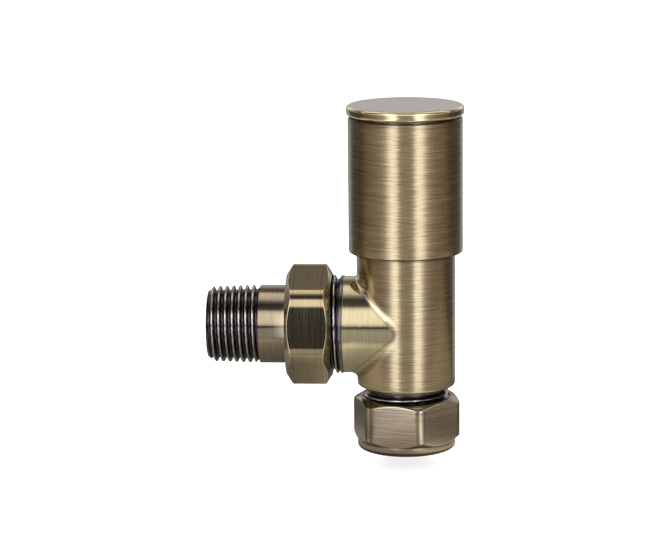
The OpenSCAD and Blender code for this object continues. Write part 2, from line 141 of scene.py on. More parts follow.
def finer(rows, step, low=-math.inf, high=math.inf):
    """Adds rows between two heights so that no two there lie further apart than a step."""
    out = [rows[0]]
    for a, b in zip(rows, rows[1:]):
        inside = low <= min(a[1], b[1]) and max(a[1], b[1]) <= high
        n = max(1, math.ceil(math.dist(a[:2], b[:2]) / step)) if inside else 1
        out.extend(tuple(x + (y - x) * k / n for x, y in zip(a, b)) for k in range(1, n + 1))
    return out


class Skin:
    """Collects the rows of points and the faces of one closed mesh."""

    def __init__(self):
        self.points, self.wear, self.painted_shade = [], [], []
        self.faces, self.slots = [], []

    def row(self, points, wear=0.0, painted_shade=0.0):
        first = len(self.points)
        self.points.extend(np.asarray(points, dtype=float))
        self.wear.extend(np.broadcast_to(wear, len(points)))
        self.painted_shade.extend(np.broadcast_to(painted_shade, len(points)))
        return list(range(first, len(self.points)))

    def face(self, corners, slot=0):
        kept = [c for i, c in enumerate(corners) if c != corners[i - 1]]
        if len(kept) > 2:
            self.faces.append(kept)
            self.slots.append(slot)

    def band(self, a, b, slot=0, closed=True):
        for j in range(len(a) if closed else len(a) - 1):
            n = (j + 1) % len(a)
            self.face([a[j], a[n], b[n], b[j]], slot)

    def zip(self, a, b, angles_a, angles_b, slot=0):
        """Joins two loops of different counts, both sorted by angle from the same start."""
        i = j = 0
        while i < len(a) or j < len(b):
            next_a = angles_a[i + 1] if i + 1 < len(a) else angles_a[0] + 2 * math.pi
            next_b = angles_b[j + 1] if j + 1 < len(b) else angles_b[0] + 2 * math.pi
            if j >= len(b) or (i < len(a) and next_a <= next_b):
                self.face([a[i % len(a)], a[(i + 1) % len(a)], b[j % len(b)]], slot)
                i += 1
            else:
                self.face([a[i % len(a)], b[(j + 1) % len(b)], b[j % len(b)]], slot)
                j += 1

    def build(self, name, materials, sharp_deg=40, face_slot=None):
        mesh = bpy.data.meshes.new(name)
        mesh.from_pydata([tuple(p * MM) for p in self.points], [], self.faces)
        for key, values in (("wear", self.wear), ("painted_shade", self.painted_shade)):
            layer = mesh.attributes.new(key, "FLOAT", "POINT")
            layer.data.foreach_set("value", np.asarray(values, dtype=np.float32))
        for m in materials:
            mesh.materials.append(m)
        mesh.polygons.foreach_set("material_index", self.slots)
        bm = bmesh.new()
        bm.from_mesh(mesh)
        bmesh.ops.recalc_face_normals(bm, faces=bm.faces)
        if face_slot:
            for face in bm.faces:
                face.material_index = face_slot(face.calc_center_median() / MM, face.normal)
        bm.to_mesh(mesh)
        bm.free()
        mesh.shade_smooth()
        mesh.set_sharp_from_angle(angle=math.radians(sharp_deg))
        obj = bpy.data.objects.new(name, mesh)
        bpy.context.scene.collection.objects.link(obj)
        return obj


def upright(r, theta, h):
    """Points about the body axis."""
    r = np.broadcast_to(r, len(theta))
    return np.stack([r * np.cos(theta), r * np.sin(theta), np.broadcast_to(h, len(theta))], 1)


def along_outlet(r, theta, u):
    """Points about the outlet axis, at angles counted from straight up."""
    r = np.broadcast_to(r, len(theta))
    return np.stack([-np.broadcast_to(u, len(theta)), r * np.sin(theta), r * np.cos(theta) + OUTLET_Z], 1)


def turned_rows(skin, place, rows, theta, shape=None):
    """Adds one row of points for each profile row. Returns their indices."""
    made = []
    for r, h, mark in rows:
        if r < 1e-6:
            centre = skin.row(place(0.0, theta[:1], h))
            made.append(centre * len(theta))
            continue
        rr = np.full(len(theta), float(r))
        wear, painted_shade = np.full(len(theta), max(mark, 0.0)), np.full(len(theta), max(-mark, 0.0))
        if shape:
            rr, wear, painted_shade = shape(theta, rr, h, wear, painted_shade)
        made.append(skin.row(place(rr, theta, h), wear, painted_shade))
    return made


def lathe(name, place, rows, materials, shape=None, closed=True, segments=SEGMENTS, slot_of=None, face_slot=None):
    """Turns profile rows into one closed piece."""
    skin = Skin()
    theta = np.arange(segments) * 2 * math.pi / segments
    made = turned_rows(skin, place, rows, theta, shape)
    for i in range(len(made) if closed else len(made) - 1):
        k = (i + 1) % len(made)
        skin.band(made[i], made[k], slot_of(rows[i], rows[k]) if slot_of else 0)
    return skin.build(name, materials, face_slot=face_slot)


def ridge(theta, h, phase):
    """Height share of a right-hand thread: 1 on a crest, 0 in a root, with rounded crests and roots."""
    turn = np.mod(h / PITCH - theta / (2 * math.pi) + phase, 1.0)
    wave = np.clip((1 - np.abs(2 * turn - 1)) * 1.5 - 0.25, 0.0, 1.0)
    return 0.5 * wave + 0.5 * wave * wave * (3 - 2 * wave)


def thread(h0, h1, r0, r1, phase, fade=0.9, end_slope=None):
    """Shape that cuts a thread between two heights. It runs out at h0, and is chamfered at h1 if a slope is given."""
    def shape(theta, rr, h, wear, painted_shade):
        if not h0 < h < h1 or rr[0] < min(r0, r1) - THREAD_DEPTH:
            return rr, wear, painted_shade
        crest = r0 + (r1 - r0) * (h - h0) / (h1 - h0)
        share = ridge(theta, h, phase)
        out = crest - THREAD_DEPTH * (1 - share)
        if fade:
            near = min(1.0, (h - h0) / fade)
            out = np.minimum(out, crest - THREAD_DEPTH * (1 - near))
        if end_slope:
            out = np.minimum(out, crest - THREAD_DEPTH * 1.05 + (h1 - h) * end_slope)
        # Crests are marked as worn, and roots get painted shade
        depth = (crest - out) / THREAD_DEPTH
        return out, np.clip(1 - 5 * depth, 0, 1), np.clip(1.6 * depth - 0.5, 0, 1)
    return shape


def thread_rows(h0, h1, r):
    """Evenly spaced rows for a thread."""
    n = math.ceil((h1 - h0) / PITCH * THREAD_STEPS)
    return [(r, h0 + (h1 - h0) * k / n, 0.0) for k in range(n + 1)]


def soft_min(a, b, k):
    """Smaller of two lengths, with a rounded change between them."""
    h = np.clip(0.5 + 0.5 * (b - a) / k, 0.0, 1.0)
    return b + (a - b) * h - k * h * (1 - h)


def hexagon(theta, flats, turn_deg, corner_r):
    """Radius of a hexagon with rounded corners at each angle, and where the corners are."""
    apothem = flats / 2
    a = np.mod(theta - math.radians(turn_deg), math.pi / 3) - math.pi / 6
    centre = (apothem - corner_r) / math.cos(math.pi / 6)
    b = math.pi / 6 - np.abs(a)
    side = centre * np.sin(b)
    arc = centre * np.cos(b) + np.sqrt(np.maximum(corner_r ** 2 - side ** 2, 0.0))
    on_arc = arc * np.sin(b) < corner_r * math.sin(math.pi / 6)
    return np.where(on_arc, arc, apothem / np.cos(a)), on_arc


def hex_cut(h0, h1, flats, turn_deg, corner_r, soft=0.14, edge=0.35, wear_and_sheen_share=0.5, line=0.0):
    """Shape that cuts a hexagon between two heights. A line is a paler line along its corners, worn and with a painted
    highlight, with painted shade on the flanks beside it.
    """
    def shape(theta, rr, h, wear, painted_shade):
        if not h0 <= h <= h1:
            return rr, wear, painted_shade
        outline, on_arc = hexagon(theta, flats, turn_deg, corner_r)
        out = soft_min(rr, outline, soft)
        near = np.clip(1 - np.abs(rr - outline) / edge, 0, 1) * wear_and_sheen_share
        off = np.degrees(math.pi / 6 - np.abs(np.mod(theta - math.radians(turn_deg), math.pi / 3) - math.pi / 6))
        on_flat = outline < rr
        corner = np.where(on_flat, line * np.exp(-(off / LINE_DEG) ** 2), 0.0)
        flank_shade = np.where(on_flat, 0.6 * line * np.exp(-((off - FLANK_DEG) / LINE_DEG) ** 2), 0.0)
        return out, np.maximum.reduce([near, corner, np.where(rr < outline, wear, 0.0)]), np.maximum(painted_shade, flank_shade)
    return shape


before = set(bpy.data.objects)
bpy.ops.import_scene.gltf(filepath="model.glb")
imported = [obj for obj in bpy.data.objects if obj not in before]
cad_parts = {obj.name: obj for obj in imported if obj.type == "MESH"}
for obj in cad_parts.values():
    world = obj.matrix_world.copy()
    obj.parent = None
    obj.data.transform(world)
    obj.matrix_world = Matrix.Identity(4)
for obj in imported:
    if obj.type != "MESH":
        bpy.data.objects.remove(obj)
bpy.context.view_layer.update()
body_low, body_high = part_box("valve_body")
sleeve_low, sleeve_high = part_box("handwheel_sleeve")
cap_low, cap_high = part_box("cap_disc")
union_low, union_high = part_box("union_nut")
tail_low, tail_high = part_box("radiator_tail")
nut_low, nut_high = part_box("compression_nut")
OUTLET_Z = (tail_low.z + tail_high.z) / 2 / MM
BODY_R = body_high.x / MM
BODY_TOP_Z = body_high.z / MM
SPIGOT_Z = body_low.z / MM
MOUTH_U = -body_low.x / MM
SLEEVE_R = sleeve_high.x / MM
CAP_R = cap_high.x / MM
CAP_TOP_Z = cap_high.z / MM
UNION_NEAR_U = -union_high.x / MM
UNION_FAR_U = -union_low.x / MM
TAIL_START_U = -tail_high.x / MM
TAIL_END_U = -tail_low.x / MM
NUT_TOP_Z = nut_high.z / MM
NUT_COLLAR_R = 13.15
SLEEVE_LOW_Z = sleeve_low.z / MM
# A face that leans more than this along its axis is a chamfer or an end
CHAMFER_LEAN = 0.3


# Materials

class Nodes:
    """Short ways to add and join shader nodes of one material or world."""

    def __init__(self, tree):
        self.tree = tree
        tree.nodes.clear()

    def add(self, kind, inputs=None, **settings):
        node = self.tree.nodes.new(kind)
        for key, value in settings.items():
            setattr(node, key, value)
        for key, value in (inputs or {}).items():
            if isinstance(value, bpy.types.NodeSocket):
                self.tree.links.new(value, node.inputs[key])
            else:
                node.inputs[key].default_value = value
        return node

    def math(self, operation, a, b=0.0, clamp=False):
        return self.add("ShaderNodeMath", {0: a, 1: b}, operation=operation, use_clamp=clamp).outputs[0]

    def ramp(self, value, stops, interpolation="LINEAR"):
        node = self.add("ShaderNodeValToRGB", {0: value})
        node.color_ramp.interpolation = interpolation
        elements = node.color_ramp.elements
        while len(elements) > 1:
            elements.remove(elements[-1])
        for i, (position, colour) in enumerate(stops):
            element = elements[0] if i == 0 else elements.new(position)
            element.position = position
            element.color = colour if isinstance(colour, tuple) else (colour, colour, colour, 1.0)
        return node.outputs[0]

    def noise(self, vector, scale, detail=3.0, roughness=0.5):
        return self.add("ShaderNodeTexNoise", {"Vector": vector, "Scale": scale, "Detail": detail,
                                               "Roughness": roughness}).outputs[0]

    def scaled(self, vector, scale):
        return self.add("ShaderNodeVectorMath", {0: vector, 1: scale}, operation="MULTIPLY").outputs[0]

    def mix(self, factor, a, b, blend_type="MIX"):
        node = self.add("ShaderNodeMix", data_type="RGBA", blend_type=blend_type)
        for key, value in ((0, factor), (6, a), (7, b)):
            if isinstance(value, bpy.types.NodeSocket):
                self.tree.links.new(value, node.inputs[key])
            else:
                node.inputs[key].default_value = value
        return node.outputs[2]


def new_material(name):
    material = bpy.data.materials.new(name)
    material.use_nodes = True
    return material, Nodes(material.node_tree)


def finish_material(nodes, inputs):
    shader = nodes.add("ShaderNodeBsdfPrincipled", inputs)
    nodes.add("ShaderNodeOutputMaterial", {"Surface": shader.outputs[0]})
    return shader


def brass(name, dark, bright, edge, roughness, brush=None, along=None, anisotropy=0.7, streak=0.35, patina=0.12,
          wear=0.6, shade_depth=0.75, bump=0.1, wander=0.3, shaded=None):
    """Antique brass: brushed lines, faint darker patches, paler worn edges with painted highlights, painted shade in
    grooves, and a painted shadow band where shaded is given.

    The brush is the number of lines in a metre along X, Y and Z. Each line leans a little to its own side.
    """
    material, n = new_material(name)
    place = n.add("ShaderNodeTexCoord").outputs["Object"]
    brush = brush or EVEN
    lines = n.noise(n.scaled(place, brush), 1.0, 2.0, 0.5)
    hairs = n.noise(n.scaled(place, tuple(HAIR * b for b in brush)), 1.0, 1.0, 0.5)
    patches = n.noise(place, 110.0, 3.0, 0.5)
    wear_and_sheen_share = n.add("ShaderNodeAttribute", attribute_name="wear").outputs["Fac"]
    shade_share = n.add("ShaderNodeAttribute", attribute_name="painted_shade").outputs["Fac"]
    both = n.math("ADD", n.math("MULTIPLY", lines, 0.4), n.math("MULTIPLY", hairs, 0.6))
    tone = n.math("ADD", n.math("MULTIPLY", n.math("SUBTRACT", both, 0.5), streak * 4), 0.5)
    tone = n.math("ADD", tone, n.math("MULTIPLY", n.math("SUBTRACT", patches, 0.5), patina * 2), clamp=True)
    colour = n.mix(tone, dark, bright)
    # Paler towards the edge colour where edges and crests are worn, and as painted highlight on the fillet and along
    # the nut's corners
    rub_and_sheen = n.math("MULTIPLY", wear_and_sheen_share, n.math("ADD", n.math("MULTIPLY", patches, 0.8), wear - 0.4), clamp=True)
    colour = n.mix(rub_and_sheen, colour, edge)
    # Painted shade: near black in grooves, thread roots and rounded hollows, on the sleeve's top band and beside the
    # nut's corners
    colour = n.mix(n.math("MULTIPLY", shade_share, shade_depth), colour, (0.012, 0.009, 0.006, 1.0))
    # Painted shadow: the barrel darkens just under the sleeve's lower edge
    if shaded:
        low, high = shaded
        up = n.add("ShaderNodeSeparateXYZ", {0: place}).outputs[2]
        shadow_share = n.math("DIVIDE", n.math("SUBTRACT", up, low * MM), (high - low) * MM, clamp=True)
        colour = n.mix(n.math("MULTIPLY", shadow_share, 0.85), colour, (0.03, 0.022, 0.014, 1.0))
    rough = n.math("ADD", n.math("MULTIPLY", n.math("SUBTRACT", both, 0.5), roughness * 0.8), roughness)
    rough = n.math("SUBTRACT", rough, n.math("MULTIPLY", rub_and_sheen, roughness * 0.4))
    rough = n.math("ADD", rough, n.math("MULTIPLY", n.math("SUBTRACT", patches, 0.5), roughness * 0.35), clamp=True)
    normal = n.add("ShaderNodeBump", {"Height": both, "Strength": bump, "Distance": 0.02 * MM}).outputs[0]
    if along and wander:
        own = n.add("ShaderNodeTexNoise", {"Vector": n.scaled(place, tuple(LEAN * b for b in brush)), "Scale": 1.0,
                                           "Detail": 1.0, "Roughness": 0.5}).outputs["Color"]
        lean = n.add("ShaderNodeVectorMath", {0: own, 1: (0.5, 0.5, 0.5)}, operation="SUBTRACT").outputs[0]
        lean = n.scaled(lean, tuple(wander * (1 - a) for a in along))
        normal = n.add("ShaderNodeVectorMath", {0: normal, 1: lean}, operation="ADD").outputs[0]
        normal = n.add("ShaderNodeVectorMath", {0: normal}, operation="NORMALIZE").outputs[0]
    inputs = {"Base Color": colour, "Metallic": 1.0, "Roughness": rough, "Normal": normal}
    if along:
        x, y, z = along
        inputs["Anisotropic"] = anisotropy
        inputs["Tangent"] = n.add("ShaderNodeCombineXYZ", {0: x, 1: y, 2: z}).outputs[0]
    finish_material(n, inputs)
    return material


def plain(name, low, high, roughness, metallic=0.0, scale=400.0, bump=0.1, depth=0.05, stretch=(1, 1, 1)):
    """Rubber, nylon or steel: a mottled colour with a fine grain."""
    material, n = new_material(name)
    place = n.add("ShaderNodeTexCoord").outputs["Object"]
    grain = n.noise(n.scaled(place, tuple(scale * s for s in stretch)), 1.0, 4.0, 0.6)
    cloud = n.noise(place, scale * 0.3, 3.0, 0.5)
    colour = n.mix(n.math("MULTIPLY", n.math("ADD", grain, cloud), 0.5, clamp=True), low, high)
    rough = n.math("ADD", n.math("MULTIPLY", n.math("SUBTRACT", grain, 0.5), 0.3), roughness, clamp=True)
    relief = n.add("ShaderNodeBump", {"Height": grain, "Strength": bump, "Distance": depth * MM}).outputs[0]
    finish_material(n, {"Base Color": colour, "Metallic": metallic, "Roughness": rough, "Normal": relief})
    return material


# Brushed lines in a metre for parts turned about Z and X, and for parts without lines
ROUND_Z = (70.0, 70.0, 4200.0)
ROUND_X = (4200.0, 70.0, 70.0)
EVEN = (250.0, 250.0, 250.0)
HAIR = 1.7
LEAN = 1.5
ALONG_Z = (0.0, 0.0, 1.0)
ALONG_X = (1.0, 0.0, 0.0)
DARK = (0.36, 0.265, 0.145, 1.0)
BRIGHT = (0.82, 0.65, 0.395, 1.0)
EDGE = (0.95, 0.83, 0.58, 1.0)
OLIVE_DARK = (0.60, 0.51, 0.30, 1.0)
OLIVE_BRIGHT = (0.98, 0.88, 0.58, 1.0)
GREY_DARK = (0.37, 0.305, 0.21, 1.0)
GREY_BRIGHT = (0.70, 0.59, 0.43, 1.0)

sleeve_brass = brass("sleeve_brass", DARK, BRIGHT, EDGE, 0.25, ROUND_Z, ALONG_Z, 0.75, 0.45, wander=0.14)
# The barrel gets a painted shadow just under the sleeve
barrel_brass = brass("barrel_brass", DARK, BRIGHT, EDGE, 0.23, ROUND_Z, ALONG_Z, 0.7, 0.4, wander=0.1,
                     shaded=(SLEEVE_LOW_Z - 1.0, SLEEVE_LOW_Z))
branch_brass = brass("branch_brass", OLIVE_DARK, OLIVE_BRIGHT, EDGE, 0.11, ROUND_X, ALONG_X, 0.3, 0.3, wander=0.04)
union_brass = brass("union_brass", (0.52, 0.41, 0.25, 1.0), (0.86, 0.72, 0.46, 1.0), EDGE, 0.07, ROUND_X, ALONG_X, 0.2,
                    0.3, wear=0.9, wander=0.03)
union_end_brass = brass("union_end_brass", (0.26, 0.235, 0.17, 1.0), (0.5, 0.46, 0.34, 1.0), EDGE, 0.2, streak=0.3,
                        wear=0.9)
tail_brass = brass("tail_brass", GREY_DARK, GREY_BRIGHT, EDGE, 0.08, ROUND_X, ALONG_X, 0.2, 0.3, wander=0.04)
nut_brass = brass("nut_brass", (0.42, 0.33, 0.24, 1.0), (0.80, 0.655, 0.51, 1.0), EDGE, 0.16, ROUND_Z, ALONG_Z, 0.5,
                  0.5, wear=0.9, wander=0.08)
smooth_brass = brass("smooth_brass", (0.13, 0.105, 0.075, 1.0), (0.34, 0.285, 0.2, 1.0), EDGE, 0.12, streak=0.1,
                     patina=0.4, wear=0.9, bump=0.05)
thread_brass = brass("thread_brass", (0.13, 0.115, 0.11, 1.0), (0.36, 0.33, 0.32, 1.0), (0.74, 0.70, 0.67, 1.0), 0.14,
                     streak=0.2, patina=0.5, wear=0.8, shade_depth=0.7, bump=0.05)
rim_brass = brass("rim_brass", (0.55, 0.45, 0.22, 1.0), (0.9, 0.76, 0.42, 1.0), EDGE, 0.17, ROUND_Z, ALONG_Z, 0.4,
                  0.3, 0.2, wander=0.1)
cap_grey = brass("cap_grey", (0.90, 0.85, 0.83, 1.0), (0.98, 0.93, 0.91, 1.0), EDGE, 0.34, streak=0.15, patina=0.1,
                 bump=0.04)
raw_brass = brass("raw_brass", (0.62, 0.46, 0.2, 1.0), (0.86, 0.68, 0.36, 1.0), EDGE, 0.24, ROUND_Z, ALONG_Z, 0.3,
                  0.25, wander=0.05)
rubber = plain("black_rubber", (0.012, 0.012, 0.013, 1.0), (0.03, 0.03, 0.032, 1.0), 0.6, scale=900.0)
white_washer = plain("white_washer", (0.72, 0.70, 0.64, 1.0), (0.86, 0.84, 0.78, 1.0), 0.45, scale=600.0)
dark_nylon = plain("dark_nylon", (0.03, 0.028, 0.026, 1.0), (0.075, 0.07, 0.065, 1.0), 0.5, scale=500.0)
zinc_steel = plain("zinc_steel", (0.42, 0.43, 0.45, 1.0), (0.66, 0.67, 0.68, 1.0), 0.3, metallic=1.0, scale=300.0,
                   stretch=(1, 1, 6))


# Pieces in mesh code

def body_piece():
    """Barrel, branch and spigot as one skin, with the waterways inside it."""
    skin = Skin()
    barrel, branch, threads, inside = 0, 1, 2, 3

    def crossing(upright_r, outlet_r, roll_r, phi):
        """Loops where a ball rolling along both cylinders touches the upright and the outlet one."""
        roll_r = np.broadcast_to(roll_r, len(phi))
        y = (outlet_r + roll_r) * np.sin(phi)
        z = (outlet_r + roll_r) * np.cos(phi)
        x = -np.sqrt((upright_r + roll_r) ** 2 - y ** 2)
        centre = np.stack([x, y, z + OUTLET_Z], 1)
        k = upright_r / (upright_r + roll_r)
        on_upright = np.stack([x * k, y * k, z + OUTLET_Z], 1)
        k = outlet_r / (outlet_r + roll_r)
        on_outlet = np.stack([x, y * k, z * k + OUTLET_Z], 1)
        return centre, on_upright, on_outlet

    # Hole columns: phi counts from straight up, through +Y
    phi = np.radians(np.arange(0, 360, BODY_STEP_DEG))
    quarter = 90 // BODY_STEP_DEG
    count = len(phi)
    from_top = np.minimum(np.degrees(phi), 360 - np.degrees(phi))
    roll_r = np.interp(from_top, FILLET_DEG, FILLET_R)
    # The fillet's rows carry a painted highlight, paler where it catches the light
    wear_and_sheen_share = np.interp(from_top, FILLET_DEG, FILLET_SHEEN)
    for _ in range(4):
        roll_r = (np.roll(roll_r, 1) + 2 * roll_r + np.roll(roll_r, -1)) / 4
    centre, on_barrel, on_branch = crossing(BODY_R, BRANCH_R, roll_r, phi)
    behind_n = 60

    def holed_wall(r, low_z, high_z, loop_points, loop_ids, quarter, count, rows_each, slot):
        order = [(quarter - i) % count for i in range(2 * quarter + 1)]
        mirror = [(quarter + i) % count for i in range(2 * quarter + 1)]
        angle = [math.atan2(loop_points[k][1], loop_points[k][0]) % (2 * math.pi) for k in order]
        low_angle = [math.atan2(loop_points[k][1], loop_points[k][0]) % (2 * math.pi) for k in mirror]
        gap = (angle[0] - angle[-1]) % (2 * math.pi)
        behind = [(angle[-1] + gap * i / behind_n) % (2 * math.pi) for i in range(1, behind_n)]
        theta = np.array(angle + behind)
        low_theta = np.array(low_angle + behind)
        top_z = np.array([loop_points[k][2] for k in order] + [OUTLET_Z] * len(behind))
        low_loop_z = np.array([loop_points[k][2] for k in mirror] + [OUTLET_Z] * len(behind))
        middle = skin.row(upright(r, np.array(behind), OUTLET_Z))
        above = [loop_ids[k] for k in order] + middle
        below = [loop_ids[k] for k in mirror] + middle
        rings = []
        for edge_z, edge_theta, first, far_z in ((top_z, theta, above, high_z), (low_loop_z, low_theta, below, low_z)):
            previous = first
            for i in range(1, rows_each + 1):
                share = i / rows_each
                z = edge_z + (far_z - edge_z) * share
                current = skin.row(upright(r, edge_theta + (theta - edge_theta) * share, z))
                skin.band(previous, current, slot)
                previous = current
            rings.append(previous)
        return rings[0], rings[1], theta

    barrel_ids = skin.row(on_barrel)
    outer_top, outer_low, theta = holed_wall(BODY_R, BODY_BOTTOM_Z + BODY_EDGE_R, BODY_TOP_Z - 1.0, on_barrel,
                                             barrel_ids, quarter, count, 14, barrel)

    # Rolled fillet between the barrel and the branch
    previous = barrel_ids
    a = (on_barrel - centre) / roll_r[:, None]
    b = (on_branch - centre) / roll_r[:, None]
    angle = np.arccos(np.clip((a * b).sum(1), -1, 1))[:, None]
    fillet_steps = 8
    for i in range(1, fillet_steps):
        t = i / fillet_steps
        d = (np.sin((1 - t) * angle) * a + np.sin(t * angle) * b) / np.sin(angle)
        current = skin.row(centre + d * roll_r[:, None], wear_and_sheen_share)
        skin.band(previous, current, barrel)
        previous = current
    branch_ids = skin.row(on_branch)
    skin.band(previous, branch_ids, barrel)
    previous = branch_ids
    branch_steps = 12
    collar_start = COLLAR_U - 0.25
    for i in range(1, branch_steps + 1):
        u = -on_branch[:, 0] + (collar_start + on_branch[:, 0]) * i / branch_steps
        current = skin.row(along_outlet(BRANCH_R, phi, u))
        skin.band(previous, current, branch)
        previous = current
    collar = arc_rows([(BRANCH_R, collar_start), (BRANCH_R, COLLAR_U, 0.08), (COLLAR_R, COLLAR_U, 0.1),
                       (COLLAR_R, COLLAR_END_U, 0.15), (BRANCH_THREAD_R - THREAD_DEPTH, COLLAR_END_U, 0.12),
                       (BRANCH_THREAD_R - THREAD_DEPTH, COLLAR_END_U + 0.2)])
    mouth_rows = thread_rows(COLLAR_END_U + 0.2, MOUTH_U - 0.05, BRANCH_THREAD_R)
    cut = thread(COLLAR_END_U + 0.1, MOUTH_U, BRANCH_THREAD_R, BRANCH_THREAD_R, BRANCH_PHASE, 0.5, 1.2)
    made = turned_rows(skin, along_outlet, collar[1:-1], phi)
    made += turned_rows(skin, along_outlet, mouth_rows, phi, cut)
    for current in made:
        skin.band(previous, current, branch if current is made[0] or current is made[1] else threads)
        previous = current
    mouth_outer = skin.row(along_outlet(BRANCH_THREAD_R - THREAD_DEPTH, phi, MOUTH_U))
    skin.band(previous, mouth_outer, threads)

    # Waterway of the branch, which meets the chamber inside
    phi_in = np.radians(np.arange(0, 360, 6))
    quarter_in = 15
    _, in_chamber, in_bore = crossing(CHAMBER_R, BRANCH_BORE_R, 0.02, phi_in)
    chamber_ids = skin.row(in_chamber)
    bore_rows = [skin.row(in_bore)]
    bore_rows += turned_rows(skin, along_outlet, [
        (BRANCH_BORE_R, 12.0, 0), (BRANCH_BORE_R, NOSE_SOCKET_U, 0), (NOSE_SOCKET_R, NOSE_SOCKET_U, 0),
        (NOSE_SOCKET_R, MOUTH_U, 0)], phi_in)
    skin.band(chamber_ids, bore_rows[0], inside)
    for p, q in zip(bore_rows, bore_rows[1:]):
        skin.band(p, q, inside)
    skin.zip(mouth_outer, bore_rows[-1], list(phi), list(phi_in), threads)

    inner_top, inner_low, theta_in = holed_wall(CHAMBER_R, CHAMBER_FLOOR_Z, CHAMBER_TOP_Z, in_chamber, chamber_ids,
                                                quarter_in, len(phi_in), 4, inside)
    # From the chamber down to the spigot's mouth
    floor_rows = turned_rows(skin, upright, [
        (SEAT_LIP_R, CHAMBER_FLOOR_Z, 0), (SEAT_LIP_R, SEAT_Z, 0), (SEAT_R, SEAT_Z, 0), (SEAT_R, PIPE_STOP_Z, 0),
        (PIPE_R, PIPE_STOP_Z, 0), (PIPE_R, SPIGOT_CONE_Z + CONE_H * 0.5, 0), (SPIGOT_MOUTH_R, SPIGOT_CONE_Z, 0),
        (SPIGOT_MOUTH_R, SPIGOT_Z, 0)], theta_in)
    previous = inner_low
    for current in floor_rows:
        skin.band(previous, current, inside)
        previous = current
    top_rows = turned_rows(skin, upright, [
        (BONNET_BORE_R, CHAMBER_TOP_Z, 0), (BONNET_BORE_R, BONNET_RING_Z, 0), (BONNET_RING_R, BONNET_RING_Z, 0),
        (BONNET_RING_R, BODY_TOP_Z, 0)], theta_in)
    previous = inner_top
    for current in top_rows:
        skin.band(previous, current, inside)
        previous = current

    # Upper edge of the barrel
    edge_rows = arc_rows([(BODY_R, BODY_TOP_Z - 1.0), (BODY_R, BODY_TOP_Z, 0.45), (BONNET_RING_R + 0.5, BODY_TOP_Z)])
    previous = outer_top
    for current in turned_rows(skin, upright, edge_rows[1:], theta):
        skin.band(previous, current, barrel)
        previous = current
    join(skin, previous, top_rows[-1], theta, theta_in, barrel)

    # Lower edge, neck, thread and mouth of the spigot
    neck_top = BODY_BOTTOM_Z - 1.2
    low_rows = arc_rows([(BODY_R, BODY_BOTTOM_Z + BODY_EDGE_R), (BODY_R, BODY_BOTTOM_Z, BODY_EDGE_R),
                         (LOWER_NECK_R, BODY_BOTTOM_Z, 0.2), (LOWER_NECK_R, neck_top)])
    low_cut = thread(SPIGOT_Z, neck_top + 0.01, LOWER_THREAD_R, LOWER_THREAD_R, LOWER_PHASE, 0.9, 1.5)
    previous = outer_low
    made = turned_rows(skin, upright, low_rows[1:], theta)
    edge_z = BODY_BOTTOM_Z + 0.02
    for row, current in zip(low_rows[1:], made):
        skin.band(previous, current, barrel if row[1] > edge_z else threads)
        previous = current
    for current in turned_rows(skin, upright, thread_rows(SPIGOT_Z + 0.02, neck_top - 0.02, LOWER_THREAD_R)[::-1], theta,
                               low_cut):
        skin.band(previous, current, threads)
        previous = current
    lip = skin.row(upright(LOWER_NECK_R, theta, SPIGOT_Z))
    skin.band(previous, lip, threads)
    join(skin, lip, floor_rows[-1], theta, theta_in, inside)
    return skin.build("valve_body_skin", [barrel_brass, branch_brass, thread_brass, raw_brass])


def join(skin, a, b, angles_a, angles_b, slot):
    """Joins two loops about the body axis whose columns run backwards in angle."""
    def turned(ids, angles):
        order = np.argsort(np.mod(angles, 2 * math.pi))
        return [ids[i] for i in order], [float(np.mod(angles[i], 2 * math.pi)) for i in order]
    ids_a, sorted_a = turned(a, np.asarray(angles_a))
    ids_b, sorted_b = turned(b, np.asarray(angles_b))
    skin.zip(ids_a, ids_b, sorted_a, sorted_b, slot)


# Turns by which the threads happen to start
BRANCH_PHASE = 0.0
LOWER_PHASE = 0.0
TAIL_PHASE = 0.0


def sleeve_piece():
    low, high = SLEEVE_LOW_Z, sleeve_high.z / MM
    bore = SLEEVE_R - 1.5
    lip_low, lip_high, lip_r = 84.65, 86.45, 11.9
    rows = arc_rows([(bore, low), (SLEEVE_R, low, 0.45), (SLEEVE_R, high, 0.35), (bore, high, 0.1), (bore, lip_high),
                     (lip_r, lip_high), (lip_r, lip_low), (bore, lip_low)])
    rows = finer(finer(rows, 2.0), 0.25, high - 3, high)

    def shape(theta, rr, h, wear, painted_shade):
        # Painted shade in a band along the top, under the cap
        top_shade = np.clip((h - high + TOP_BAND_H) / TOP_BAND_FADE, 0, 1) * TOP_BAND_TONE
        return rr, wear, np.maximum(painted_shade, top_shade)
    return lathe("handwheel_sleeve_skin", upright, rows, [sleeve_brass], shape)


def cap_piece():
    bottom = CAP_TOP_Z - 2.8
    spigot_r, spigot_low, spigot_in = 13.62, cap_low.z / MM, 11.62
    rows = arc_rows([(0.0, CAP_TOP_Z), (CAP_R, CAP_TOP_Z, 1.0), (CAP_R, bottom, 1.0), (spigot_r, bottom, 0.1),
                     (spigot_r, spigot_low, 0.2), (spigot_in, spigot_low, 0.2), (spigot_in, bottom, 0.1),
                     (0.0, bottom)])
    top = CAP_TOP_Z - 0.12

    def slot_of(p, q):
        if min(p[1], q[1]) > top:
            return 0
        return 2 if max(p[1], q[1]) < bottom + 0.1 and max(p[0], q[0]) < CAP_R - 0.9 else 1
    return lathe("cap_disc_skin", upright, rows, [cap_grey, rim_brass, thread_brass], closed=False, slot_of=slot_of)


